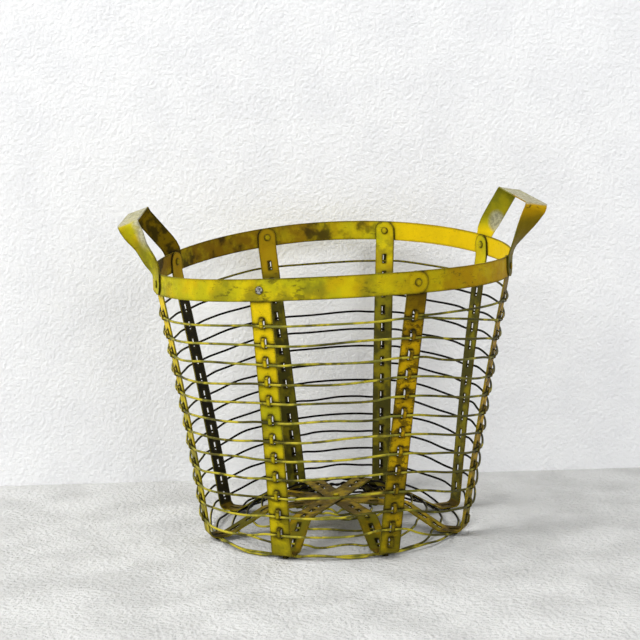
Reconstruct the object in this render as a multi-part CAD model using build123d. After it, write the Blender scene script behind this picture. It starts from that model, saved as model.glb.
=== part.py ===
"""Round wire shopping basket.

Four straps pass under the base and up both sides, making eight ribs.  A flat hoop is riveted round
the outside of their tops, a wire is threaded round them through lanced loops, and a bent strap makes
each of the two handles.  Lengths are in millimetres, +Z is up and -Y is the front.
"""
import os
from math import cos, degrees, pi, radians, sin, sqrt, tan

from build123d import *

# Strap stock, the same for the ribs, the hoop and the handles
STRAP_W = 23.6
STRAP_T = 1.5
HALF_W = STRAP_W / 2
HALF_T = STRAP_T / 2

# Hoop.  It is an old basket: the hoop sits a little to one side, leans back and dips at the handles.
HOOP_R = 205.0
HOOP_OFF_X = 3.2
HOOP_Z = 310.0
HOOP_LEAN_X = 0.020
HOOP_LEAN_Y = 0.059
HOOP_DIP = 6.0
LAP_STEP_DEG = 6.0

# Each rib: angle of its rivet on the hoop, angle of its foot (both from the front, towards +X),
# radius where the base starts to rise, and radius where it reaches the crown
RIBS = {
    "front_right": (25.3, 21.0, 129.0, 94.0),
    "right_front": (73.0, 68.0, 128.0, 84.0),
    "right_back": (117.0, 112.5, 130.0, 90.0),
    "back_right": (160.3, 158.5, 130.0, 92.0),
    "back_left": (203.5, 198.0, 130.0, 92.0),
    "left_back": (246.5, 240.0, 132.0, 90.0),
    "left_front": (289.5, 289.0, 134.0, 84.0),
    "front_left": (338.2, 337.0, 132.0, 100.0),
}
RIB_ORDER = list(RIBS)
# Each strap is two opposite ribs, listed from the bottom of the stack at the crown to the top
STRAPS = {
    "strap_left_front_right_back": ("left_front", "right_back"),
    "strap_right_front_left_back": ("right_front", "left_back"),
    "strap_front_right_back_left": ("front_right", "back_left"),
    "strap_front_left_back_right": ("front_left", "back_right"),
}

# Feet and raised crown of the base
FOOT_R = 155.0
FOOT_Z = 5.0
FOOT_BEND_R = 7.0
PAD_R = 143.0
CROWN_Z = 29.6
CROWN_STEP = 1.55
SIDE_BOW = 2.5

# Lanced loops that hold the wire
LOOP_FIRST = 35.5
LOOP_PITCH = 21.55
LOOP_SIDE_COUNT = 12
LOOP_HALF_L = 6.0
LOOP_W = 4.4
LOOP_SLOT_W = 4.7
LOOP_OUT = 4.7
LOOP_IN = 3.55

# Wire
WIRE_R = 1.3
WIRE_OUT = HALF_T + WIRE_R + 0.08
WIRE_SEAT = 2.5
WIRE_FLAT = 12.4
WIRE_PAIR = 1.37
BASE_TURNS = 5

# Rivets
SHANK_R = 2.0
HOLE_R = 2.05
HEAD_R = 4.0
HEAD_H = 1.9
TAIL_R = 4.1
TAIL_H = 1.9

# Handles: the two upper corners, how far the grip droops outwards, and for the front and back legs
# the heights above the rivet where they twist, with the share of the twist that is done there; the
# rest of it is spread over a stretch below the upper corner
HANDLE_BEND_R = 7.0
HANDLES = {
    "handle_left": {
        "ribs": ("left_front", "left_back"),
        "corners": ((-221.0, -66.0, 364.5), (-223.5, 62.0, 370.5)),
        "twist": ((6.0, 24.0, 0.38, 28.0), (-6.0, 12.0, 0.42, 8.0)),
        "inward": 1.0,
        "droop_deg": 18.0,
    },
    "handle_right": {
        "ribs": ("right_front", "right_back"),
        "corners": ((230.0, -72.0, 373.3), (215.5, 75.0, 382.5)),
        "twist": ((20.0, 66.0, 0.95, 8.0), (0.0, 34.0, 0.70, 12.0)),
        "inward": -1.0,
        "droop_deg": 9.5,
    },
}

LIFT = Vector(0, 0, 1)


def outward(angle):
    """Level direction pointing away from the middle; the angle is in degrees from the front."""
    return Vector(sin(radians(angle)), -cos(radians(angle)), 0)


def along(angle):
    """Level direction along the hoop at that angle."""
    return Vector(cos(radians(angle)), sin(radians(angle)), 0)


def hoop_point(angle, radius):
    """Point on the middle line of the hoop, at a radius from the hoop's own centre."""
    flat = Vector(HOOP_OFF_X, 0, 0) + outward(angle) * radius
    lean = outward(angle) * HOOP_R
    z = HOOP_Z + HOOP_LEAN_X * lean.X + HOOP_LEAN_Y * lean.Y + HOOP_DIP * cos(2 * radians(angle))
    return Vector(flat.X, flat.Y, z)


def mix(a, b, t):
    return a * (1 - t) + b * t


def smooth(t):
    t = min(max(t, 0.0), 1.0)
    return t * t * (3 - 2 * t)


# ---------------------------------------------------------------------------------------------
# Middle line of a strap: straight runs joined by bends, with a width direction at each station
# ---------------------------------------------------------------------------------------------
def rounded_path(corners, radii, run_step):
    """Points and directions along straight runs whose corners are rounded to the given radii."""
    points = [corners[0]]
    directions = [(corners[1] - corners[0]).normalized()]
    for i in range(1, len(corners) - 1):
        into = (corners[i] - corners[i - 1]).normalized()
        out = (corners[i + 1] - corners[i]).normalized()
        turn = radians(into.get_angle(out))
        if turn < 0.004 or radii[i] <= 0:
            points.append(corners[i])
            directions.append((into + out).normalized())
            continue
        setback = radii[i] * tan(turn / 2)
        start = corners[i] - into * setback
        side = (out - into * into.dot(out)).normalized()
        steps = max(2, int(degrees(turn) / 11) + 1)
        add_run(points, directions, start, into, run_step)
        for k in range(1, steps + 1):
            a = turn * k / steps
            points.append(start + into * (radii[i] * sin(a)) + side * (radii[i] * (1 - cos(a))))
            directions.append(into * cos(a) + side * sin(a))
    last = (corners[-1] - points[-1]).normalized()
    add_run(points, directions, corners[-1], last, run_step)
    return points, directions


def add_run(points, directions, end, direction, run_step):
    """A straight run from the last point to the end, in steps."""
    start = points[-1]
    length = (end - start).length
    count = max(1, round(length / run_step))
    for k in range(1, count + 1):
        points.append(mix(start, end, k / count))
        directions.append(direction)


class StrapLine:
    """Middle line of a bent strap, with its direction, width direction and face direction."""

    def __init__(self, points, directions, widths):
        self.points = points
        self.directions = directions
        self.widths = []
        self.faces = []
        self.at = [0.0]
        for d, w in zip(directions, widths):
            level = (w - d * w.dot(d)).normalized()
            self.widths.append(level)
            self.faces.append(d.cross(level).normalized())
        for a, b in zip(points, points[1:]):
            self.at.append(self.at[-1] + (b - a).length)

    def frame(self, distance):
        """Point, direction, width direction and face direction at a distance along the line."""
        i = 0
        while i < len(self.at) - 2 and self.at[i + 1] < distance:
            i += 1
        t = (distance - self.at[i]) / (self.at[i + 1] - self.at[i])
        point = mix(self.points[i], self.points[i + 1], t)
        direction = (self.points[i + 1] - self.points[i]).normalized()
        width = mix(self.widths[i], self.widths[i + 1], t).normalized()
        width = (width - direction * width.dot(direction)).normalized()
        return point, direction, width, direction.cross(width).normalized()

    def solid(self):
        """The strap stock along the whole line."""
        sections = []
        for p, w, n in zip(self.points, self.widths, self.faces):
            u = w * HALF_W
            v = n * HALF_T
            sections.append(Wire.make_polygon([p - u - v, p + u - v, p + u + v, p - u + v]))
        return Solid.make_loft(sections, ruled=True)


def plane_at(point, direction, face):
    """Plane with local X along the strap and local Z out of its outer face."""
    return Plane(origin=point, x_dir=direction, z_dir=face)


def end_cutter(point, direction, face):
    """Removes the corners of a strap end beyond a rivet and leaves a half-round end."""
    block = Box(STRAP_W, STRAP_W + 4, 8, align=(Align.MIN, Align.CENTER, Align.CENTER))
    tool = block - Cylinder(HALF_W - 0.02, 10)
    return plane_at(point, direction, face) * tool


def rivet_hole(point, face):
    return Plane(origin=point, z_dir=face) * Cylinder(HOLE_R, 12)


# ---------------------------------------------------------------------------------------------
# Ribs and straps
# ---------------------------------------------------------------------------------------------
RIB_GAP = 0.65
RIB_TOP_R = HOOP_R - STRAP_T - RIB_GAP - HALF_T


def rib_half(name, level):
    """Corners of one rib, from its rounded top to the middle of the crown."""
    rim_deg, foot_deg, rise_r, crown_r = RIBS[name]
    rivet = hoop_point(rim_deg, RIB_TOP_R)
    top = rivet + LIFT * HALF_W
    under = rivet - LIFT * (HALF_W + 1)
    crown_z = CROWN_Z + CROWN_STEP * level
    heel = outward(foot_deg) * FOOT_R + LIFT * FOOT_Z
    rise = outward(foot_deg) * rise_r + LIFT * FOOT_Z
    crown = outward(foot_deg) * crown_r + LIFT * crown_z
    middle = LIFT * crown_z
    return [top, under, heel, rise, crown, middle]


def bowed_side(corners, foot_deg):
    """The side of a rib is drawn in slightly, half way down."""
    top, under, heel = corners[:3]
    mids = []
    for k in range(1, 6):
        t = k / 6
        mids.append(mix(under, heel, t) - outward(foot_deg) * (SIDE_BOW * 4 * t * (1 - t)))
    return [top, under] + mids + corners[2:]


def rib_line(name, level):
    """Middle line of one rib, from its top to the crown."""
    rim_deg, foot_deg, _, _ = RIBS[name]
    corners = bowed_side(rib_half(name, level), foot_deg)
    radii = [0, 30] + [0] * 5 + [FOOT_BEND_R, 12, 18, 0]
    points, directions = rounded_path(corners, radii, 26.0)
    rivet_z = hoop_point(rim_deg, RIB_TOP_R).Z
    span = rivet_z - HALF_W - 30
    widths = []
    for p in points:
        t = smooth((rivet_z - HALF_W - p.Z) / span)
        widths.append(along(rim_deg + (foot_deg - rim_deg) * t))
    return StrapLine(points, directions, widths)


def loop_frames(name, level):
    """Where the loops of one rib are: side loops, a spare loop above the foot, pad loop, base loops."""
    line = rib_line(name, level)
    rim_deg, foot_deg, rise_r, crown_r = RIBS[name]
    heel = outward(foot_deg) * FOOT_R + LIFT * FOOT_Z
    bend = min(range(len(line.points)), key=lambda i: (line.points[i] - heel).length)
    bend_start = line.at[bend] - 7.0
    while line.frame(bend_start)[0].Z < FOOT_Z + FOOT_BEND_R - 0.5:
        bend_start -= 0.5
    side = []
    s = HALF_W + LOOP_FIRST
    while s + LOOP_HALF_L < bend_start + 1.5:
        side.append(s)
        s += LOOP_PITCH
    spare = bend_start - LOOP_HALF_L
    if spare - side[-1] > 14:
        side.append(spare)
    pad = line.at[bend]
    while line.frame(pad)[0].cross(LIFT).length > PAD_R:
        pad += 0.25
    base = []
    for k in range(1, BASE_TURNS + 1):
        base.append(pad + k * 20.6)
    return line, side, pad, base


def lanced_loop():
    """Bridge of metal pushed out between two slits; local X runs along the strap."""
    a = LOOP_HALF_L
    root = 0.45
    outer = [(-a - 1.0, -root), (-a - 1.0, root), (-a + 0.1, root), (-a + 0.9, 3.5)]
    outer += [(-a + 1.9, LOOP_OUT), (a - 1.9, LOOP_OUT), (a - 0.9, 3.5), (a - 0.1, root)]
    outer += [(a + 1.0, root), (a + 1.0, -root)]
    inner = [(a - 0.4, -root), (a - 1.05, 0.5), (a - 1.65, 2.8), (a - 2.3, LOOP_IN)]
    inner += [(-a + 2.3, LOOP_IN), (-a + 1.65, 2.8), (-a + 1.05, 0.5), (-a + 0.4, -root)]
    profile = Plane.XZ * Polygon(*(outer + inner), align=None)
    return extrude(profile, LOOP_W / 2, both=True)


def strap(names, level):
    """A whole strap: two opposite ribs in one piece, with its loops and rivet holes."""
    first = rib_line(names[0], level)
    second = rib_line(names[1], level)
    points = first.points[:-1] + list(reversed(second.points))
    directions = first.directions[:-1] + [-d for d in reversed(second.directions)]
    widths = first.widths[:-1] + [-w for w in reversed(second.widths)]
    join = len(first.points) - 1
    directions[join] = (directions[join - 1] + directions[join + 1]).normalized()
    widths[join] = (widths[join - 1] + widths[join + 1]).normalized()
    body = StrapLine(points, directions, widths).solid()
    bridge = lanced_loop()
    cuts = []
    adds = []
    for name in names:
        line, side, pad, base = loop_frames(name, level)
        for s in side + [pad] + base:
            point, direction, _, face = line.frame(s)
            where = plane_at(point, direction, face)
            cuts.append(where * Box(2 * LOOP_HALF_L, LOOP_SLOT_W, 4))
            adds.append(where * bridge)
        rivet = hoop_point(RIBS[name][0], RIB_TOP_R)
        cuts.append(end_cutter(rivet, LIFT, outward(RIBS[name][0])))
        cuts.append(rivet_hole(rivet, outward(RIBS[name][0])))
    cuts.append(Cylinder(HOLE_R + 0.5, 4 * CROWN_Z))
    return body - cuts + adds


# ---------------------------------------------------------------------------------------------
# Hoop
# ---------------------------------------------------------------------------------------------
def hoop():
    """Flat strap bent to a hoop; the outer end laps over the inner one at the front right rivet."""
    lap_deg = RIBS["front_right"][0]
    half_deg = degrees(HALF_W / HOOP_R)
    start = lap_deg - half_deg
    end = [half_deg * (1 - cos(radians(a))) for a in (4, 14, 26, 40, 56, 72)]
    lap = end + [half_deg] + [2 * half_deg - t for t in reversed(end)]
    open_deg = 360 - 2 * half_deg
    turns = lap + [2 * half_deg + open_deg * k / 88 for k in range(1, 88)] + [360 + t for t in lap]
    sections = []
    for turn in turns:
        angle = start + turn
        step = (STRAP_T + 0.05) * smooth((turn - 360 + LAP_STEP_DEG) / LAP_STEP_DEG)
        mid = HOOP_R - HALF_T + step
        past = max(half_deg - turn, turn - 360 - half_deg, 0) / half_deg
        half_height = HALF_W * sqrt(1 - past * past)
        ring = []
        for r, z in ((-1, -1), (1, -1), (1, 1), (-1, 1)):
            ring.append(hoop_point(angle, mid + r * HALF_T) + LIFT * (z * half_height))
        sections.append(Wire.make_polygon(ring))
    body = Solid.make_loft(sections, ruled=True)
    cuts = []
    for name in RIB_ORDER:
        rim_deg = RIBS[name][0]
        cuts.append(rivet_hole(hoop_point(rim_deg, HOOP_R), outward(rim_deg)))
    return body - cuts


# ---------------------------------------------------------------------------------------------
# Handles
# ---------------------------------------------------------------------------------------------
HANDLE_R = HOOP_R + 0.05 + HALF_T


def handle(spec):
    """One bent strap: flat on the hoop at both ends, twisted up its legs, with a level grip."""
    front, back = spec["ribs"]
    rivets = [hoop_point(RIBS[name][0], HANDLE_R) for name in (front, back)]
    corners = [rivets[0] - LIFT * HALF_W, rivets[0] + LIFT * (HALF_W + 2)]
    corners += [Vector(*c) for c in spec["corners"]]
    corners += [rivets[1] + LIFT * (HALF_W + 2), rivets[1] - LIFT * HALF_W]
    radii = [0, 34, HANDLE_BEND_R, HANDLE_BEND_R, 34, 0]
    points, directions = rounded_path(corners, radii, 6.0)
    droop = radians(spec["droop_deg"])
    across = Vector(cos(droop), 0, sin(droop) * spec["inward"])
    widths = []
    for p in points:
        leg = 0 if p.Y < (rivets[0].Y + rivets[1].Y) / 2 else 1
        flat = along(RIBS[spec["ribs"][leg]][0])
        if flat.X < 0:
            flat = flat * -1
        begin, end, share, rest = spec["twist"][leg]
        t = share * min(max((p.Z - rivets[leg].Z - begin) / (end - begin), 0.0), 1.0)
        t += (1 - share) * smooth((p.Z - corners[2 + leg].Z + rest) / rest)
        widths.append(mix(flat, across, t).normalized())
    line = StrapLine(points, directions, widths)
    body = line.solid()
    cuts = []
    for name, rivet in zip((front, back), rivets):
        face = outward(RIBS[name][0])
        cuts.append(end_cutter(rivet, LIFT * -1, face))
        cuts.append(rivet_hole(rivet, face))
    return body - cuts


# ---------------------------------------------------------------------------------------------
# Rivets
# ---------------------------------------------------------------------------------------------
def rivet(point, face, outside, inside):
    """Domed head outside and a round set tail inside, at distances from the point along the face."""
    dome = ((1.0, 0.0), (1.0, 0.2), (0.9, 0.55), (0.7, 0.82), (0.4, 0.96), (0.0, 1.0))
    profile = []
    for share, height in reversed(dome):
        profile.append((TAIL_R * share, inside - TAIL_H * height))
    profile += [(SHANK_R, inside), (SHANK_R, outside)]
    for share, height in dome:
        profile.append((HEAD_R * share, outside + HEAD_H * height))
    made = revolve(Plane.XZ * Polygon(*profile, align=None), axis=Axis.Z)
    return Plane(origin=point, z_dir=face) * made


def rib_rivet(name):
    """Rivet of one rib; a handle or the lap of the hoop adds to the thickness that it holds."""
    rim_deg = RIBS[name][0]
    outside = 0.06
    if name == "front_right" or name.startswith(("left", "right")):
        outside += STRAP_T + 0.06
    inside = -STRAP_T - RIB_GAP - STRAP_T - 0.02
    return rivet(hoop_point(rim_deg, HOOP_R), outward(rim_deg), outside, inside)


def crown_rivet():
    """Rivet through the four straps where they cross."""
    top = CROWN_Z + 3 * CROWN_STEP + HALF_T + 0.03
    bottom = CROWN_Z - HALF_T - 0.03
    return rivet(Vector(0, 0, top), LIFT, 0.0, bottom - top)


# ---------------------------------------------------------------------------------------------
# Wire
# ---------------------------------------------------------------------------------------------
BAY_BOW = {"left_back": 0.62, "left_front": 1.2, "right_front": 0.78}


def wire_stops():
    """For each rib, the seats that the wire passes through, from the first side loop to the crown."""
    stops = {}
    for level, (a, b) in enumerate(STRAPS.values()):
        for name in (a, b):
            line, side, pad, base = loop_frames(name, level)
            seats = []
            for s in side:
                seats.append(seat(line, s + WIRE_SEAT))
            pads = [seat(line, pad - WIRE_PAIR), seat(line, pad + WIRE_PAIR)]
            rings = [seat(line, s) for s in base]
            stops[name] = (seats, pads, rings)
    return stops


def seat(line, s):
    """Middle of the wire where it crosses a strap, and its direction there."""
    point, _, width, face = line.frame(s)
    return point + face * WIRE_OUT, width


def turn_stops(stops):
    """One list of eight seats per turn, in the order that the wire is wound."""
    turns = []
    low_count = {name: 14 for name in ("back_right", "back_left")}
    low_count.update({name: 13 for name in ("right_back", "left_back")})
    for k in range(LOOP_SIDE_COUNT + 2):
        row = {}
        for name in RIB_ORDER:
            seats, pads, _ = stops[name]
            if k < LOOP_SIDE_COUNT or (k < low_count.get(name, 0) and k < len(seats)):
                row[name] = seats[k]
            else:
                row[name] = pads[k - LOOP_SIDE_COUNT]
        turns.append(row)
    for k in range(BASE_TURNS):
        turns.append({name: stops[name][2][k] for name in RIB_ORDER})
    return turns


def bay(a, b, bow):
    """Wire across one bay, from the edge of one rib to the edge of the next."""
    (pa, wa), (pb, wb) = a, b
    start = pa + wa * WIRE_FLAT
    end = pb - wb * WIRE_FLAT
    chord = end - start
    level = Vector(chord.X, chord.Y, 0)
    side = level.cross(LIFT).normalized()
    turn = radians(wa.get_angle(wb))
    rise = level.length * turn / 8 * bow
    middle = mix(start, end, 0.5) + side * rise
    near = mix(start, end, 0.2) + side * (rise * 0.66)
    far = mix(start, end, 0.8) + side * (rise * 0.66)
    return Spline(start, near, middle, far, end, tangents=(wa, wb))


def wire_turn(before, row):
    """One turn of the wire: it steps down in the bay after the front right rib."""
    seats = [before] + [row[name] for name in RIB_ORDER[1:]] + [row[RIB_ORDER[0]]]
    edges = []
    for k in range(8):
        a = seats[k]
        b = seats[k + 1]
        lead = a[0] if k == 0 else a[0] - a[1] * WIRE_FLAT
        edges.append(Line(lead, a[0] + a[1] * WIRE_FLAT))
        edges.append(bay(a, b, BAY_BOW.get(RIB_ORDER[k], 0.9)))
    last = seats[8]
    edges.append(Line(last[0] - last[1] * WIRE_FLAT, last[0]))
    path = Wire(edges)
    section = Plane(origin=path @ 0, z_dir=path % 0) * Circle(WIRE_R)
    return sweep(section, path=path)


def wires():
    """All the turns, each a length of the one wire, meeting end to end in the front right loops."""
    rows = turn_stops(wire_stops())
    first, direction = rows[0]["front_right"]
    first = first + LIFT * (WIRE_SEAT - 1.1)
    down = Vector(0, 0, -2 * WIRE_R - 0.2)
    parts = {}
    start = (first - down * 0.5, direction)
    for k, row in enumerate(rows):
        row = dict(row)
        if k == 0:
            row["front_right"] = (first + down * 0.5, direction)
        parts[k] = wire_turn(start, row)
        start = row["front_right"]
    names = [f"side_wire_{k + 1:02d}" for k in range(LOOP_SIDE_COUNT)]
    names += ["foot_wire_01", "foot_wire_02"]
    names += [f"base_wire_{k + 1:02d}" for k in range(BASE_TURNS)]
    return {name: parts[k] for k, name in enumerate(names)}


# ---------------------------------------------------------------------------------------------
# Assembly
# ---------------------------------------------------------------------------------------------
def build():
    made = {"rim_hoop": hoop()}
    for level, (node, names) in enumerate(STRAPS.items()):
        made[node] = strap(names, level)
    made["crown_rivet"] = crown_rivet()
    for node, spec in HANDLES.items():
        made[node] = handle(spec)
    for name in RIB_ORDER:
        made[f"rivet_{name}"] = rib_rivet(name)
    made.update(wires())
    return made


def main():
    made = build()
    boxes = [part.bounding_box() for part in made.values()]
    low = [min(getattr(b.min, axis) for b in boxes) for axis in "XYZ"]
    high = [max(getattr(b.max, axis) for b in boxes) for axis in "XYZ"]
    shift = Vector(-(low[0] + high[0]) / 2, -(low[1] + high[1]) / 2, -low[2])
    print("shift", shift, "low", low, "high", high)
    os.makedirs("parts", exist_ok=True)
    for node, part in made.items():
        solids = part.solids()
        moved = Pos(shift.X, shift.Y, shift.Z) * (solids[0] if len(solids) == 1 else Compound(solids))
        print(node, len(solids), round(part.volume, 1))
        export_step(moved, f"parts/{node}.step")


main()
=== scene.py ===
import math
import random

import bmesh
import bpy
from mathutils import Matrix, Vector


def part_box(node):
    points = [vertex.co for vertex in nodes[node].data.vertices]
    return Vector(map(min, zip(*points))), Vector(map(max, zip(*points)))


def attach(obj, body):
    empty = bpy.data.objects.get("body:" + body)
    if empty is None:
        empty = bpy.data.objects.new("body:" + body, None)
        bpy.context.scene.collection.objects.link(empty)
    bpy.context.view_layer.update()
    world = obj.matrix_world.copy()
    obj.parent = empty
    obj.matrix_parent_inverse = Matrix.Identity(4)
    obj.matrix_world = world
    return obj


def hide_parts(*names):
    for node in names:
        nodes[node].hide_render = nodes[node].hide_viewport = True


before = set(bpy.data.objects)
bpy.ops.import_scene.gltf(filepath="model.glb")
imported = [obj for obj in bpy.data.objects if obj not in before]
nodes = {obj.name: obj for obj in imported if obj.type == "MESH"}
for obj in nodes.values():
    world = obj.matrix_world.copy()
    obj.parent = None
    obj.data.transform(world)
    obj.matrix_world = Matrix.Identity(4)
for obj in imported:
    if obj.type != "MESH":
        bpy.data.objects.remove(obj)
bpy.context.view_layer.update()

# ------------------------------------------------------------------ basket's own dimensions, mm
STRAP_W, STRAP_T = 23.6, 1.5
HALF_W, HALF_T = STRAP_W / 2, STRAP_T / 2
HOOP_R, HOOP_OFF_X, HOOP_Z = 205.0, 3.2, 310.0
HOOP_LEAN_X, HOOP_LEAN_Y, HOOP_DIP = 0.020, 0.059, 6.0
RIBS = {
    "front_right": (25.3, 21.0, 129.0, 94.0),
    "right_front": (73.0, 68.0, 128.0, 84.0),
    "right_back": (117.0, 112.5, 130.0, 90.0),
    "back_right": (160.3, 158.5, 130.0, 92.0),
    "back_left": (203.5, 198.0, 130.0, 92.0),
    "left_back": (246.5, 240.0, 132.0, 90.0),
    "left_front": (289.5, 289.0, 134.0, 84.0),
    "front_left": (338.2, 337.0, 132.0, 100.0),
}
RIB_ORDER = list(RIBS)
LEVELS = {"left_front": 0, "right_back": 0, "right_front": 1, "left_back": 1,
          "front_right": 2, "back_left": 2, "front_left": 3, "back_right": 3}
FOOT_R, FOOT_Z, FOOT_BEND_R, PAD_R = 155.0, 5.0, 7.0, 143.0
CROWN_Z, CROWN_STEP, SIDE_BOW = 29.6, 1.55, 2.5
LOOP_FIRST, LOOP_PITCH, LOOP_SIDE_COUNT, LOOP_HALF_L = 35.5, 21.55, 12, 6.0
WIRE_R = 1.3
WIRE_OUT = HALF_T + WIRE_R + 0.08
WIRE_SEAT, WIRE_FLAT, WIRE_PAIR, BASE_TURNS, BASE_PITCH = 2.5, 12.4, 1.37, 5, 20.6
RIB_BENDS = [0, 30] + [0] * 5 + [FOOT_BEND_R, 12, 18, 0]
LONGEST_RUN = 26.0
# Ribs on which the foot turns sit in side loops and not under the base, with their count of side loops
LOW_LOOPS = {"back_right": 14, "back_left": 14, "right_back": 13, "left_back": 13}
# How far each bay bows outwards, as a share of an even arc, and how far the wire waves, mm
BAY_BOW, EVEN_BOW = {"left_back": 0.62, "left_front": 1.2, "right_front": 0.78}, 0.9
FIRST_WAVE, WAVE_PER_TURN = 0.55, 0.05
RIB_GAP = 0.65
RIB_TOP_R = HOOP_R - STRAP_T - RIB_GAP - HALF_T
RIVET_HEAD_H = 1.9
UP = Vector((0, 0, 1))

crown_low, crown_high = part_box("crown_rivet")
SHIFT = Vector(((crown_low.x + crown_high.x) / 2, (crown_low.y + crown_high.y) / 2,
                crown_high.z - (CROWN_Z + 3 * CROWN_STEP + HALF_T + 0.03 + RIVET_HEAD_H) / 1000))


def metres(p):
    """A place given in the basket's own millimetres, in the row frame."""
    return p / 1000 + SHIFT


def outward(angle):
    return Vector((math.sin(math.radians(angle)), -math.cos(math.radians(angle)), 0))


def along(angle):
    return Vector((math.cos(math.radians(angle)), math.sin(math.radians(angle)), 0))


def hoop_point(angle, radius):
    flat = Vector((HOOP_OFF_X, 0, 0)) + outward(angle) * radius
    lean = outward(angle) * HOOP_R
    z = HOOP_Z + HOOP_LEAN_X * lean.x + HOOP_LEAN_Y * lean.y + HOOP_DIP * math.cos(2 * math.radians(angle))
    return Vector((flat.x, flat.y, z))


def smooth(t):
    t = min(max(t, 0.0), 1.0)
    return t * t * (3 - 2 * t)


def add_run(points, directions, end, direction, run_step):
    start = points[-1]
    count = max(1, round((end - start).length / run_step))
    for k in range(1, count + 1):
        points.append(start.lerp(end, k / count))
        directions.append(direction)


def rounded_path(corners, radii, run_step):
    """Straight runs joined by arcs, as points and directions."""
    points, directions = [corners[0]], [(corners[1] - corners[0]).normalized()]
    for i in range(1, len(corners) - 1):
        into = (corners[i] - corners[i - 1]).normalized()
        out = (corners[i + 1] - corners[i]).normalized()
        turn = into.angle(out)
        if turn < 0.004 or radii[i] <= 0:
            points.append(corners[i])
            directions.append((into + out).normalized())
            continue
        start = corners[i] - into * (radii[i] * math.tan(turn / 2))
        side = (out - into * into.dot(out)).normalized()
        steps = max(2, int(math.degrees(turn) / 11) + 1)
        add_run(points, directions, start, into, run_step)
        for k in range(1, steps + 1):
            a = turn * k / steps
            points.append(start + into * (radii[i] * math.sin(a)) + side * (radii[i] * (1 - math.cos(a))))
            directions.append(into * math.cos(a) + side * math.sin(a))
    add_run(points, directions, corners[-1], (corners[-1] - points[-1]).normalized(), run_step)
    return points, directions


class RibLine:
    """Middle line of one rib, from its top to the crown."""

    def __init__(self, name):
        rim_deg, foot_deg, rise_r, crown_r = RIBS[name]
        rivet = hoop_point(rim_deg, RIB_TOP_R)
        under = rivet - UP * (HALF_W + 1)
        self.heel = outward(foot_deg) * FOOT_R + UP * FOOT_Z
        crown_z = CROWN_Z + CROWN_STEP * LEVELS[name]
        corners = [rivet + UP * HALF_W, under]
        for k in range(1, 6):
            t = k / 6
            corners.append(under.lerp(self.heel, t) - outward(foot_deg) * (SIDE_BOW * 4 * t * (1 - t)))
        corners += [self.heel, outward(foot_deg) * rise_r + UP * FOOT_Z,
                    outward(foot_deg) * crown_r + UP * crown_z, UP * crown_z]
        self.points, self.directions = rounded_path(corners, RIB_BENDS, LONGEST_RUN)
        self.widths, self.at = [], [0.0]
        span = rivet.z - HALF_W - 30
        for p, d in zip(self.points, self.directions):
            w = along(rim_deg + (foot_deg - rim_deg) * smooth((rivet.z - HALF_W - p.z) / span))
            self.widths.append((w - d * w.dot(d)).normalized())
        for a, b in zip(self.points, self.points[1:]):
            self.at.append(self.at[-1] + (b - a).length)

    def frame(self, s):
        i = 0
        while i < len(self.at) - 2 and self.at[i + 1] < s:
            i += 1
        t = (s - self.at[i]) / (self.at[i + 1] - self.at[i])
        direction = (self.points[i + 1] - self.points[i]).normalized()
        width = self.widths[i].lerp(self.widths[i + 1], t)
        width = (width - direction * width.dot(direction)).normalized()
        return self.points[i].lerp(self.points[i + 1], t), width, direction.cross(width).normalized()

    def seat(self, s):
        """Middle of the wire where it crosses the rib, its direction and the rib's face direction."""
        point, width, face = self.frame(s)
        return point + face * WIRE_OUT, width, face

    def loops(self):
        """Distances of the side loops, the pad loop and the base loops."""
        bend = min(range(len(self.points)), key=lambda i: (self.points[i] - self.heel).length)
        start = self.at[bend] - 7.0
        while self.frame(start)[0].z < FOOT_Z + FOOT_BEND_R - 0.5:
            start -= 0.5
        side, s = [], HALF_W + LOOP_FIRST
        while s + LOOP_HALF_L < start + 1.5:
            side.append(s)
            s += LOOP_PITCH
        if start - LOOP_HALF_L - side[-1] > 14:
            side.append(start - LOOP_HALF_L)
        pad = self.at[bend]
        while self.frame(pad)[0].xy.length > PAD_R:
            pad += 0.25
        return side, pad, [pad + k * BASE_PITCH for k in range(1, BASE_TURNS + 1)]


# ------------------------------------------------------------------ the wire, turn by turn
def turn_seats():
    """For each turn of the wire, its seat on every rib."""
    stops = {}
    for name in RIB_ORDER:
        line = RibLine(name)
        side, pad, base = line.loops()
        stops[name] = ([line.seat(s + WIRE_SEAT) for s in side],
                       [line.seat(pad - WIRE_PAIR), line.seat(pad + WIRE_PAIR)], [line.seat(s) for s in base])
    rows = []
    for k in range(LOOP_SIDE_COUNT + 2):
        row = {}
        for name in RIB_ORDER:
            seats, pads, _ = stops[name]
            if k < LOOP_SIDE_COUNT or (k < LOW_LOOPS.get(name, 0) and k < len(seats)):
                row[name] = seats[k]
            else:
                row[name] = pads[k - LOOP_SIDE_COUNT]
        rows.append(row)
    rows += [{name: stops[name][2][k] for name in RIB_ORDER} for k in range(BASE_TURNS)]
    return rows


def hermite(p0, m0, p1, m1, t):
    t2, t3 = t * t, t * t * t
    return p0 * (2 * t3 - 3 * t2 + 1) + m0 * (t3 - 2 * t2 + t) + p1 * (3 * t2 - 2 * t3) + m1 * (t3 - t2)


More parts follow.
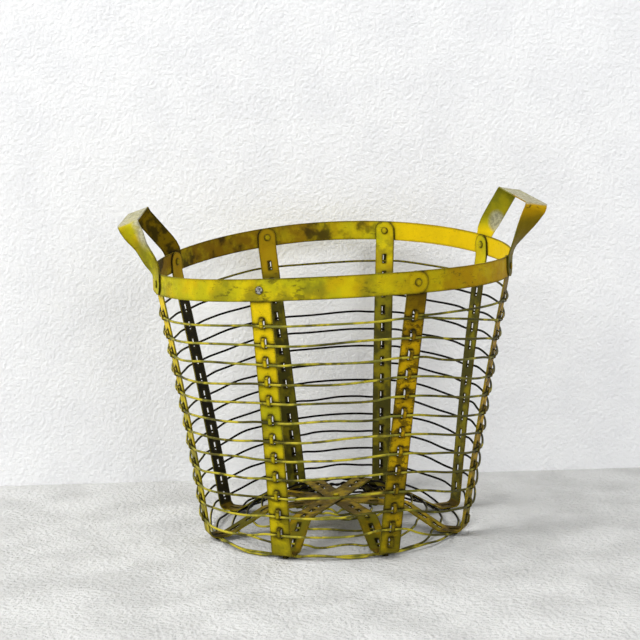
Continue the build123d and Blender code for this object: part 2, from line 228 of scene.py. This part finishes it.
def bay_points(a, b, bow, rng, wave):
    """Wire across one bay, waved a little up and down, without its two ends."""
    (pa, wa, _), (pb, wb, _) = a, b
    start, end = pa + wa * WIRE_FLAT, pb - wb * WIRE_FLAT
    chord = end - start
    level = Vector((chord.x, chord.y, 0))
    side = level.cross(UP).normalized()
    rise = level.length * wa.angle(wb) / 8 * bow
    keys = [start, start.lerp(end, 0.2) + side * (rise * 0.66), start.lerp(end, 0.5) + side * rise,
            start.lerp(end, 0.8) + side * (rise * 0.66), end]
    steps = [chord.length * f for f in (0.2, 0.3, 0.3, 0.2)]
    slopes = [wa]
    for i in (1, 2, 3):
        slopes.append((keys[i + 1] - keys[i - 1]) / (steps[i - 1] + steps[i]))
    slopes.append(wb)
    first, second, third = rng.gauss(0, wave), rng.gauss(0, wave * 0.8), rng.gauss(0, wave * 0.35)
    points = []
    total, gone = sum(steps), 0
    for i in range(4):
        for k in range(1, 7):
            t = k / 6
            p = hermite(keys[i], slopes[i] * steps[i], keys[i + 1], slopes[i + 1] * steps[i], t)
            u = (gone + steps[i] * t) / total
            ends = smooth(u / 0.18) * smooth((1 - u) / 0.18)
            lift = first * math.sin(math.pi * u) + second * math.sin(2 * math.pi * u)
            points.append(p + UP * ((lift + third * math.sin(3 * math.pi * u)) * ends))
        gone += steps[i]
    return points[:-1]


def wire_object(name, points):
    """A round wire through points, kept from sinking into the floor."""
    data = bpy.data.curves.new(name, "CURVE")
    data.dimensions = "3D"
    data.bevel_depth = WIRE_R / 1000
    data.bevel_resolution = 3
    data.use_fill_caps = True
    line = data.splines.new("POLY")
    line.points.add(len(points) - 1)
    for item, p in zip(line.points, points):
        centre = metres(p)
        centre.z = max(centre.z, WIRE_R / 1000)
        item.co = (*centre, 1)
    made = bpy.data.objects.new(name, data)
    bpy.context.scene.collection.objects.link(made)
    return made


def build_wires(material):
    """The turns, each from the front right rib round to itself, drawn in order from one seeded source."""
    rows = turn_seats()
    rng = random.Random(7)
    top, direction, face = rows[0]["front_right"]
    top = top + UP * (WIRE_SEAT - 1.1)
    down = UP * (-2 * WIRE_R - 0.2)
    names = [f"side_wire_{k + 1:02d}" for k in range(LOOP_SIDE_COUNT)] + ["foot_wire_01", "foot_wire_02"]
    names += [f"base_wire_{k + 1:02d}" for k in range(BASE_TURNS)]
    before = (top - down * 0.5, direction, face)
    for k, (node, row) in enumerate(zip(names, rows)):
        row = dict(row)
        if k == 0:
            row["front_right"] = (top + down * 0.5, direction, face)
        seats = [before] + [row[n] for n in RIB_ORDER[1:]] + [row[RIB_ORDER[0]]]
        points = []
        wave = FIRST_WAVE + WAVE_PER_TURN * k
        for i in range(8):
            p, w, _ = seats[i]
            if i:
                points += [p - w * WIRE_FLAT, p - w * WIRE_FLAT * 0.5]
            points += [p, p + w * WIRE_FLAT * 0.5, p + w * WIRE_FLAT]
            points += bay_points(seats[i], seats[i + 1], BAY_BOW.get(RIB_ORDER[i], EVEN_BOW), rng, wave)
        p, w, _ = seats[8]
        points += [p - w * WIRE_FLAT, p - w * WIRE_FLAT * 0.5, p]
        before = row["front_right"]
        wire = wire_object("wire_" + node, points)
        wire.data.materials.append(material)
        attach(wire, "root")
        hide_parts(node)


# ------------------------------------------------------------------ materials
class Graph:
    """Short hand for a material's node tree."""

    def __init__(self, name):
        self.material = bpy.data.materials.new(name)
        self.material.use_nodes = True
        self.tree = self.material.node_tree
        self.tree.nodes.clear()
        self.shader = self.node("ShaderNodeBsdfPrincipled")
        out = self.node("ShaderNodeOutputMaterial")
        self.link(self.shader.outputs[0], out.inputs[0])
        self.place = self.node("ShaderNodeTexCoord").outputs["Object"]

    def node(self, kind, **settings):
        made = self.tree.nodes.new(kind)
        for key, value in settings.items():
            setattr(made, key, value)
        return made

    def link(self, a, b):
        self.tree.links.new(a, b)

    def feed(self, socket, value):
        if isinstance(value, bpy.types.NodeSocket):
            self.link(value, socket)
        elif isinstance(value, tuple) and len(value) == 3 and socket.type == "RGBA":
            socket.default_value = (*value, 1)
        else:
            socket.default_value = value

    def noise(self, scale, detail=4.0, rough=0.55, stretch=None, distortion=0.0):
        n = self.node("ShaderNodeTexNoise")
        n.inputs["Scale"].default_value = scale
        n.inputs["Detail"].default_value = detail
        n.inputs["Roughness"].default_value = rough
        n.inputs["Distortion"].default_value = distortion
        place = self.place
        if stretch:
            m = self.node("ShaderNodeMapping")
            m.inputs["Scale"].default_value = stretch
            self.link(self.place, m.inputs[0])
            place = m.outputs[0]
        self.link(place, n.inputs["Vector"])
        return n.outputs["Fac"]

    def step(self, value, low, high, to_low=0.0, to_high=1.0):
        n = self.node("ShaderNodeMapRange", interpolation_type="SMOOTHSTEP")
        self.feed(n.inputs["Value"], value)
        for key, number in (("From Min", low), ("From Max", high), ("To Min", to_low), ("To Max", to_high)):
            n.inputs[key].default_value = number
        return n.outputs[0]

    def math(self, kind, a, b=0.0, clamp=False):
        n = self.node("ShaderNodeMath", operation=kind, use_clamp=clamp)
        self.feed(n.inputs[0], a)
        self.feed(n.inputs[1], b)
        return n.outputs[0]

    def mix(self, amount, a, b, kind="MIX"):
        n = self.node("ShaderNodeMix", data_type="RGBA", blend_type=kind)
        self.feed(n.inputs["Factor"], amount)
        self.feed(n.inputs["A"], a)
        self.feed(n.inputs["B"], b)
        return n.outputs["Result"]

    def split(self, vector):
        n = self.node("ShaderNodeSeparateXYZ")
        self.link(vector, n.inputs[0])
        return n.outputs

    def dot(self, a, b):
        n = self.node("ShaderNodeVectorMath", operation="DOT_PRODUCT")
        self.link(a, n.inputs[0])
        self.feed(n.inputs[1], b)
        return n.outputs["Value"]

    def bump(self, height, strength, distance):
        n = self.node("ShaderNodeBump")
        n.inputs["Strength"].default_value = strength
        n.inputs["Distance"].default_value = distance
        self.link(height, n.inputs["Height"])
        self.link(n.outputs[0], self.shader.inputs["Normal"])

    def facing_out(self):
        """1 on faces that look away from the basket's middle line, -1 on faces that look at it."""
        x, y, _ = self.split(self.place)
        level = self.node("ShaderNodeCombineXYZ")
        self.link(x, level.inputs[0])
        self.link(y, level.inputs[1])
        unit = self.node("ShaderNodeVectorMath", operation="NORMALIZE")
        self.link(level.outputs[0], unit.inputs[0])
        normal = self.node("ShaderNodeNewGeometry").outputs["True Normal"]
        return self.dot(normal, unit.outputs[0])


# Middle and half size of the bare spot on the right handle's back leg, m
SPOT_X, SPOT_Z = 0.1985, 0.343
SPOT_HALF_W, SPOT_HALF_H = 0.0100, 0.0141

# Paint colours, linear
YELLOW = (0.60, 0.475, 0.006)
HIGHLIGHT_YELLOW = (0.86, 0.62, 0.007)
FRESH_YELLOW = (0.78, 0.55, 0.005)
PAINTED_LIGHT_GOLD = (0.80, 0.53, 0.004)
GREEN_YELLOW = (0.38, 0.37, 0.010)
GOLD = (0.44, 0.27, 0.005)
DEEP_GOLD = (0.27, 0.165, 0.002)
WARM_SHADE_ORANGE = (0.60, 0.36, 0.003)
WARM_SHADE_AMBER = (0.40, 0.225, 0.003)
GRIP_AMBER = (0.40, 0.235, 0.003)
TOFFEE = (0.34, 0.19, 0.006)
SHADE_BROWN = (0.21, 0.115, 0.006)
RUST = (0.21, 0.115, 0.003)
LEG_SHADE_BROWN = (0.125, 0.072, 0.002)
DARK_RUST = (0.055, 0.034, 0.004)
TAR = (0.035, 0.021, 0.002)
LEG_SHADE_BLACK = (0.022, 0.017, 0.003)
MOSS = (0.20, 0.19, 0.012)
OLIVE = (0.16, 0.155, 0.012)
FOOT_OLIVE = (0.15, 0.135, 0.008)
SCUFF = (0.10, 0.085, 0.008)
EDGE_OLIVE = (0.085, 0.065, 0.007)
SHADE_OLIVE = (0.085, 0.080, 0.008)
DARK_OLIVE = (0.050, 0.046, 0.009)
BLACK = (0.014, 0.012, 0.006)
WORN = (0.50, 0.48, 0.33)
WORN_DIRTY = (0.26, 0.25, 0.17)


class Paint(Graph):
    """Old yellow paint on the strap stock; kind is hoop, strap, handle or rivet."""

    def __init__(self, kind):
        super().__init__("yellow_paint_" + kind)
        self.x, self.y, self.z = self.split(self.place)
        normal = self.node("ShaderNodeNewGeometry").outputs["True Normal"]
        _, self.ny, self.nz = self.split(normal)
        out = self.facing_out()
        self.inner = self.step(out, 0.10, -0.30)
        self.outer = self.step(out, 0.0, 0.3)
        self.mottle = self.noise(44, 5, 0.6)
        self.cloud = self.noise(14, 3, 0.5)
        self.fine = self.noise(300, 4, 0.65)
        self.grain = self.noise(1400, 3, 0.6)
        self.coat(out)
        if kind == "hoop":
            self.hoop_marks()
        if kind == "strap":
            self.strap_marks()
        if kind == "handle":
            self.far_leg_shade()
        self.wear()
        if kind == "handle":
            self.handle_marks()
        self.surface()

    def times(self, first, *others):
        """Product of masks."""
        for other in others:
            first = self.math("MULTIPLY", first, other)
        return first

    def cover(self, amount, colour):
        self.colour = self.mix(amount, self.colour, colour)

    def coat(self, out):
        """The paint as it faded: greener in places, and browner on the outside at the right, which is painted
        warm shade.
        """
        self.colour = self.mix(self.step(self.mottle, 0.40, 0.68, 0.0, 0.60), YELLOW, GOLD)
        self.cover(self.step(self.noise(20, 4, 0.6), 0.42, 0.62, 0.0, 0.75), GREEN_YELLOW)
        cloud, mottle = self.step(self.cloud, 0.47, 0.60), self.step(self.mottle, 0.36, 0.58)
        smudge = self.math("MULTIPLY", cloud, mottle, True)
        self.cover(self.times(smudge, 0.70), OLIVE)
        # Painted warm shade: an amber tint on the outside faces at the right, the side away from the light.
        right = self.times(self.step(self.x, 0.02, 0.16), self.step(out, -0.1, 0.3))
        self.cover(self.times(right, self.step(self.mottle, 0.30, 0.55, 0.45, 0.92)), WARM_SHADE_AMBER)

    def hoop_marks(self):
        """Painted shade in brown inside at the left, painted light in gold inside at the right, scuffs
        outside and painted shade in dark patches inside.
        """
        # Painted shade: brown on the inner face at the left, which faces away from the light.
        shade = self.times(self.inner, self.step(self.x, 0.06, -0.06))
        self.cover(self.times(shade, self.step(self.mottle, 0.38, 0.60, 0.50, 0.95)), SHADE_BROWN)
        # Painted light: gold on the inner face at the right, which faces the light.
        self.cover(self.times(self.inner, self.step(self.x, 0.05, 0.11), 0.75), PAINTED_LIGHT_GOLD)
        scuff = self.step(self.noise(70, 5, 0.75, stretch=(1.0, 1.0, 2.2)), 0.53, 0.62)
        self.cover(self.times(scuff, self.step(self.cloud, 0.44, 0.58), self.outer, 0.72), SCUFF)
        # Painted shade: dark patches on the inner face, everywhere but the lit right.
        painted_inner_shade = self.times(self.inner, self.step(self.x, 0.10, 0.03))
        self.cover(self.times(painted_inner_shade, self.step(self.noise(24, 4, 0.6), 0.50, 0.62), 0.80), BLACK)

    def strap_marks(self):
        """Darkening on the inner faces below the hoop, a painted highlight on the upper outer faces at the
        left, a golden base and a patchy orange rib at the front right, its orange painted warm shade and its
        patches rust.
        """
        # Inner faces below the hoop are darkened, to black at the left.
        low = self.times(self.inner, self.step(self.z, 0.292, 0.268))
        left = self.step(self.x, -0.075, -0.10)
        inner_darkening = self.math("MAXIMUM", self.step(self.mottle, 0.34, 0.58, 0.72, 1.0), left)
        self.cover(self.times(low, inner_darkening), self.mix(left, DARK_OLIVE, BLACK))
        top = self.times(self.step(self.z, 0.268, 0.292), self.step(self.x, 0.0, -0.06))
        self.cover(self.times(self.inner, top, 0.75), TOFFEE)
        # Painted highlight: brighter yellow on the upper outer faces at the left, which face the light.
        painted_highlight = self.times(self.outer, self.step(self.x, -0.02, -0.05), self.step(self.z, 0.19, 0.24))
        self.cover(self.times(painted_highlight, self.step(self.fine, 0.30, 0.60, 0.95, 0.75)), HIGHLIGHT_YELLOW)
        under = self.times(self.step(self.z, 0.050, 0.030), self.step(self.nz, 0.20, 0.55))
        self.cover(self.times(under, 0.90), DEEP_GOLD)
        self.cover(self.times(under, self.step(self.mottle, 0.38, 0.54, 0.25, 0.95)), TAR)
        # Outer faces at the right: the orange is painted warm shade on the side away from the light; the rust
        # patches over it are weathering.
        right_shade_and_rust = self.times(self.step(self.x, 0.03, 0.07), self.outer)
        self.cover(self.times(right_shade_and_rust, 0.80), WARM_SHADE_ORANGE)
        self.cover(self.times(right_shade_and_rust, self.step(self.noise(36, 4, 0.6), 0.42, 0.62, 0.0, 0.75)), RUST)
        patch = self.step(self.noise(85, 5, 0.72, stretch=(1.0, 1.0, 1.8)), 0.49, 0.57)
        patch = self.math("MAXIMUM", patch, self.times(self.step(self.z, 0.262, 0.280), 0.9))
        self.cover(self.times(right_shade_and_rust, patch, 0.80), DARK_RUST)
        foot = self.times(self.outer, self.step(self.z, 0.13, 0.04))
        self.cover(self.times(foot, self.step(self.mottle, 0.36, 0.56, 0.10, 0.75)), FOOT_OLIVE)

    def far_leg_shade(self):
        """The left handle's back leg, with painted shade in brown and near black on the side that faces
        forward, away from the light.
        """
        back_leg = self.times(self.step(self.x, 0.0, -0.01), self.step(self.y, -0.01, 0.01))
        shaded_side = self.times(back_leg, self.ny, -1.0)
        shaded_side = self.step(shaded_side, 0.15, 0.45)
        # Painted shade: brown, then near black patches, on the forward facing side of the back leg.
        self.cover(self.times(shaded_side, 0.92), LEG_SHADE_BROWN)
        self.cover(self.times(shaded_side, self.step(self.noise(52, 4, 0.6), 0.46, 0.60, 0.0, 0.85)), LEG_SHADE_BLACK)

    def wear(self):
        """Painted shade in the crevices, dark worn edges, chips and scratches."""
        # Painted shade: ambient occlusion darkens crevices and the gaps around laps, loops and rivets towards
        # black.
        crevice_occlusion = self.node("ShaderNodeAmbientOcclusion", samples=6)
        crevice_occlusion.inputs["Distance"].default_value = 0.0055
        crevice_shade = self.step(crevice_occlusion.outputs["AO"], 0.95, 0.70)
        self.cover(self.times(crevice_shade, self.step(self.fine, 0.25, 0.60, 0.70, 1.0)), BLACK)
        rim = self.times(edge_mask(self, 0.0045), self.step(self.noise(36, 4, 0.65), 0.36, 0.60, 0.25, 0.80))
        self.cover(rim, EDGE_OLIVE)
        uneven = self.step(self.noise(95, 4, 0.7), 0.36, 0.52, 0.68, 1.0)
        self.worn = self.times(edge_mask(self, 0.0024), uneven)
        self.cover(self.times(self.worn, 0.95), BLACK)
        chips = self.step(self.noise(230, 6, 0.75, distortion=0.6), 0.615, 0.655)
        self.chips = self.times(chips, self.step(self.noise(30, 2, 0.5), 0.42, 0.58))
        self.cover(self.times(self.chips, 0.85), BLACK)
        scratch = self.step(self.noise(90, 5, 0.7, stretch=(1.0, 1.0, 7.0)), 0.63, 0.67)
        self.cover(self.times(scratch, 0.55), BLACK)

    def handle_marks(self):
        """Rubbed grips, painted shade on the right handle's front leg, the left handle's pale strip and the
        right handle's bare spot.
        """
        at_left, at_right = self.step(self.x, 0.0, -0.01), self.step(self.x, 0.0, 0.01)
        in_front, behind = self.step(self.y, 0.0, -0.01), self.step(self.y, 0.0, 0.01)
        right_front, right_back = self.times(at_right, in_front), self.times(at_right, behind)
        left_front = self.times(at_left, in_front)
        patchy = self.noise(40, 4, 0.6)
        self.cover(self.times(right_front, 0.8), GRIP_AMBER)
        # Painted shade: olive darkening on the right handle's front leg below the grip.
        right_leg_shade = self.times(right_front, self.step(self.z, 0.368, 0.352))
        self.cover(self.times(right_leg_shade, self.step(patchy, 0.38, 0.58, 0.70, 0.97)), SHADE_OLIVE)
        self.cover(self.times(right_back, self.step(self.z, 0.345, 0.330), 0.8), FRESH_YELLOW)
        moss = self.times(right_back, self.step(self.z, 0.338, 0.358))
        self.cover(self.times(moss, self.step(patchy, 0.40, 0.56, 0.45, 0.90)), MOSS)
        marks = self.step(self.noise(170, 4, 0.7, stretch=(1.0, 1.0, 1.8)), 0.56, 0.61)
        self.cover(self.times(marks, right_front, self.step(self.z, 0.366, 0.371), 0.85), BLACK)
        rub = self.noise(60, 5, 0.65)
        grip = self.times(self.step(self.nz, 0.70, 0.90), self.step(self.z, 0.345, 0.352))
        grip = self.times(grip, self.step(rub, 0.30, 0.50, 0.35, 0.92))
        slope = self.math("ADD", self.x, self.times(self.z, 0.4))
        strip = self.times(self.step(slope, -0.0765, -0.0690), self.step(self.z, 0.330, 0.350), left_front)
        across = self.math("POWER", self.times(self.math("SUBTRACT", self.x, SPOT_X), 1 / SPOT_HALF_W), 2)
        up = self.math("POWER", self.times(self.math("SUBTRACT", self.z, SPOT_Z), 1 / SPOT_HALF_H), 2)
        spot = self.times(right_back, self.step(self.math("ADD", across, up), 1.3, 0.3))
        leg = self.times(self.math("MAXIMUM", strip, spot), self.step(rub, 0.34, 0.50, 0.55, 0.90))
        bare = self.mix(self.step(self.fine, 0.36, 0.60), WORN, WORN_DIRTY)
        self.cover(self.math("MAXIMUM", grip, leg), bare)

    def surface(self):
        self.cover(self.step(self.grain, 0.30, 0.70, 0.14, 0.0), BLACK)
        self.feed(self.shader.inputs["Base Color"], self.colour)
        rough = self.math("ADD", self.step(self.fine, 0.3, 0.7, 0.36, 0.54), self.times(self.chips, 0.25))
        self.feed(self.shader.inputs["Roughness"], rough)
        self.shader.inputs["Specular IOR Level"].default_value = 0.03
        self.shader.inputs["Specular Tint"].default_value = (1.0, 0.84, 0.30, 1)
        height = self.math("ADD", self.times(self.fine, 0.5), self.times(self.grain, 0.20))
        gone = self.times(self.math("ADD", self.chips, self.worn), 0.5)
        self.bump(self.math("SUBTRACT", height, gone), 0.55, 0.0005)


def edge_mask(g, radius):
    """1 near a sharp edge."""
    round_normal = g.node("ShaderNodeBevel", samples=4)
    round_normal.inputs["Radius"].default_value = radius
    normal = g.node("ShaderNodeNewGeometry").outputs["Normal"]
    return g.step(g.dot(round_normal.outputs[0], normal), 0.999, 0.93)


def wire_paint():
    g = Graph("painted_wire")
    x, _, z = g.split(g.place)
    blotch = g.noise(42, 4, 0.6)
    fine = g.noise(500, 4, 0.65)
    colour = g.mix(g.step(blotch, 0.42, 0.58), (0.46, 0.39, 0.03), (0.17, 0.165, 0.025))
    dark = g.step(g.noise(34, 4, 0.6), 0.49, 0.60, 0.0, 0.90)
    colour = g.mix(dark, colour, (0.045, 0.040, 0.010))
    right = g.math("MULTIPLY", g.step(x, 0.07, 0.11), g.step(g.noise(28, 3, 0.6), 0.40, 0.52, 0.2, 0.9))
    colour = g.mix(right, colour, (0.055, 0.050, 0.012))
    # Painted shade: faces that look at the basket's middle line are near black, with olive in places near the
    # top.
    first = g.math("MULTIPLY", g.step(z, 0.270, 0.280), g.step(fine, 0.62, 0.44))
    inside = g.mix(first, (0.004, 0.003, 0.002), (0.15, 0.125, 0.008))
    colour = g.mix(g.step(g.facing_out(), 0.24, 0.0), colour, inside)
    colour = g.mix(g.step(fine, 0.55, 0.75, 0.0, 0.6), colour, BLACK)
    g.feed(g.shader.inputs["Base Color"], colour)
    g.feed(g.shader.inputs["Roughness"], g.step(fine, 0.3, 0.7, 0.40, 0.60))
    g.shader.inputs["Specular IOR Level"].default_value = 0.05
    g.bump(fine, 0.5, 0.0003)
    return g.material


def bare_rivet():
    g = Graph("bare_rivet")
    fine = g.noise(420, 4, 0.65)
    colour = g.mix(g.step(fine, 0.42, 0.60), (0.40, 0.40, 0.37), (0.07, 0.062, 0.04))
    g.feed(g.shader.inputs["Base Color"], colour)
    g.shader.inputs["Metallic"].default_value = 0.8
    g.feed(g.shader.inputs["Roughness"], g.step(fine, 0.3, 0.7, 0.32, 0.6))
    g.bump(fine, 0.6, 0.0004)
    return g.material


PAINTS = {kind: Paint(kind).material for kind in ("hoop", "strap", "handle", "rivet")}
BARE_STEEL = bare_rivet()
build_wires(wire_paint())


def finish_of(name):
    if name == "rivet_front_left":
        return BARE_STEEL
    if name == "rim_hoop":
        return PAINTS["hoop"]
    return PAINTS[next((kind for kind in ("strap", "handle") if name.startswith(kind)), "rivet")]


EDGE_ROUND = 0.00028
for name, node in nodes.items():
    if name.startswith(("side_wire", "foot_wire", "base_wire")):
        continue
    node.data.materials.clear()
    node.data.materials.append(finish_of(name))
    for polygon in node.data.polygons:
        polygon.use_smooth = True
    node.data.set_sharp_from_angle(angle=math.radians(32))
    bevel = node.modifiers.new("edges", "BEVEL")
    bevel.width = EDGE_ROUND
    bevel.segments = 2
    bevel.limit_method = "ANGLE"
    bevel.angle_limit = math.radians(35)
    bevel.harden_normals = False


# ------------------------------------------------------------------ floor, wall, lights, camera
def plaster(name, base, dark, scale, strength, depth, one_sided=False):
    """Rough plaster; the one sided sort is clear from behind, so the basket shows in back views."""
    g = Graph(name)
    if one_sided:
        out = next(n for n in g.tree.nodes if n.type == "OUTPUT_MATERIAL")
        sheer = g.node("ShaderNodeMixShader")
        g.link(g.node("ShaderNodeNewGeometry").outputs["Backfacing"], sheer.inputs[0])
        g.link(g.shader.outputs[0], sheer.inputs[1])
        g.link(g.node("ShaderNodeBsdfTransparent").outputs[0], sheer.inputs[2])
        g.link(sheer.outputs[0], out.inputs[0])
    rough = g.noise(scale, 5, 0.55)
    broad = g.noise(scale / 14, 3, 0.5)
    g.feed(g.shader.inputs["Base Color"], g.mix(g.step(broad, 0.35, 0.68), base, dark))
    g.shader.inputs["Roughness"].default_value = 0.92
    g.shader.inputs["Specular IOR Level"].default_value = 0.1
    g.bump(rough, strength, depth)
    return g.material


def sheet_object(name, points, width, material):
    """A sheet that follows a line of (y, z) points, width metres wide."""
    mesh = bpy.data.meshes.new(name)
    bm = bmesh.new()
    rows = []
    for py, pz in points:
        rows.append([bm.verts.new((x, py, pz)) for x in (-width, width)])
    for a, b in zip(rows, rows[1:]):
        bm.faces.new((a[0], a[1], b[1], b[0]))
    bm.normal_update()
    bm.to_mesh(mesh)
    bm.free()
    for polygon in mesh.polygons:
        polygon.use_smooth = True
    made = bpy.data.objects.new(name, mesh)
    bpy.context.scene.collection.objects.link(made)
    made.data.materials.append(material)
    return made


WALL_Y, STAGE_HALF = 0.24, 9.0
FLOOR_PAINT = plaster("floor", (0.65, 0.65, 0.64), (0.54, 0.54, 0.53), 170, 1.0, 0.006)
WALL_PAINT = plaster("wall", (0.875, 0.88, 0.89), (0.835, 0.84, 0.855), 240, 0.7, 0.003, True)
sheet_object("floor", [(-STAGE_HALF, -0.0004), (STAGE_HALF, -0.0004)], STAGE_HALF, FLOOR_PAINT)
sheet_object("wall", [(WALL_Y, -0.001), (WALL_Y, 6.0)], STAGE_HALF, WALL_PAINT)


def area_light(name, place, aim, size, power, colour):
    data = bpy.data.lights.new(name, "AREA")
    data.shape = "DISK"
    data.size = size
    data.energy = power
    data.color = colour
    made = bpy.data.objects.new(name, data)
    made.location = place
    made.rotation_mode = "QUATERNION"
    made.rotation_quaternion = (Vector(aim) - Vector(place)).to_track_quat("-Z", "Y")
    bpy.context.scene.collection.objects.link(made)


KEY_ANGLE, KEY_RISE, KEY_AWAY = -64, math.radians(48), 6.5
LIGHT_AIM = (0, 0, 0.15)
key_from = outward(KEY_ANGLE) * math.cos(KEY_RISE) + UP * math.sin(KEY_RISE)
area_light("key", key_from * KEY_AWAY, LIGHT_AIM, 4.6, 425, (1.0, 0.992, 0.975))
area_light("front", (2.2, -4.8, 2.6), LIGHT_AIM, 3.0, 122, (1.0, 1.0, 1.0))

world = bpy.data.worlds.new("world")
bpy.context.scene.world = world
world.use_nodes = True
background = world.node_tree.nodes["Background"]
background.inputs[0].default_value = (0.93, 0.96, 1.0, 1)
background.inputs[1].default_value = 0.33

CAMERA_FROM = Vector((0, -1813.2, 495.0))
FOCAL_PX, YAW, PITCH, ROLL = 1589.7, -0.395, 7.928, -1.756


def camera():
    data = bpy.data.cameras.new("camera")
    data.sensor_width = 36.0
    data.lens = FOCAL_PX * 36.0 / 640
    data.clip_start, data.clip_end = 0.05, 60
    made = bpy.data.objects.new("camera", data)
    bpy.context.scene.collection.objects.link(made)
    yaw, pitch, roll = (math.radians(a) for a in (YAW, PITCH, ROLL))
    ahead = Vector((math.sin(yaw) * math.cos(pitch), math.cos(yaw) * math.cos(pitch), -math.sin(pitch)))
    level = Vector((math.cos(yaw), -math.sin(yaw), 0))
    over = level.cross(ahead)
    right = level * math.cos(roll) + over * math.sin(roll)
    above = over * math.cos(roll) - level * math.sin(roll)
    turn = Matrix((right, above, -ahead)).transposed()
    made.matrix_world = Matrix.Translation(metres(CAMERA_FROM)) @ turn.to_4x4()
    bpy.context.scene.camera = made


camera()
bpy.context.scene.view_settings.view_transform = "Standard"
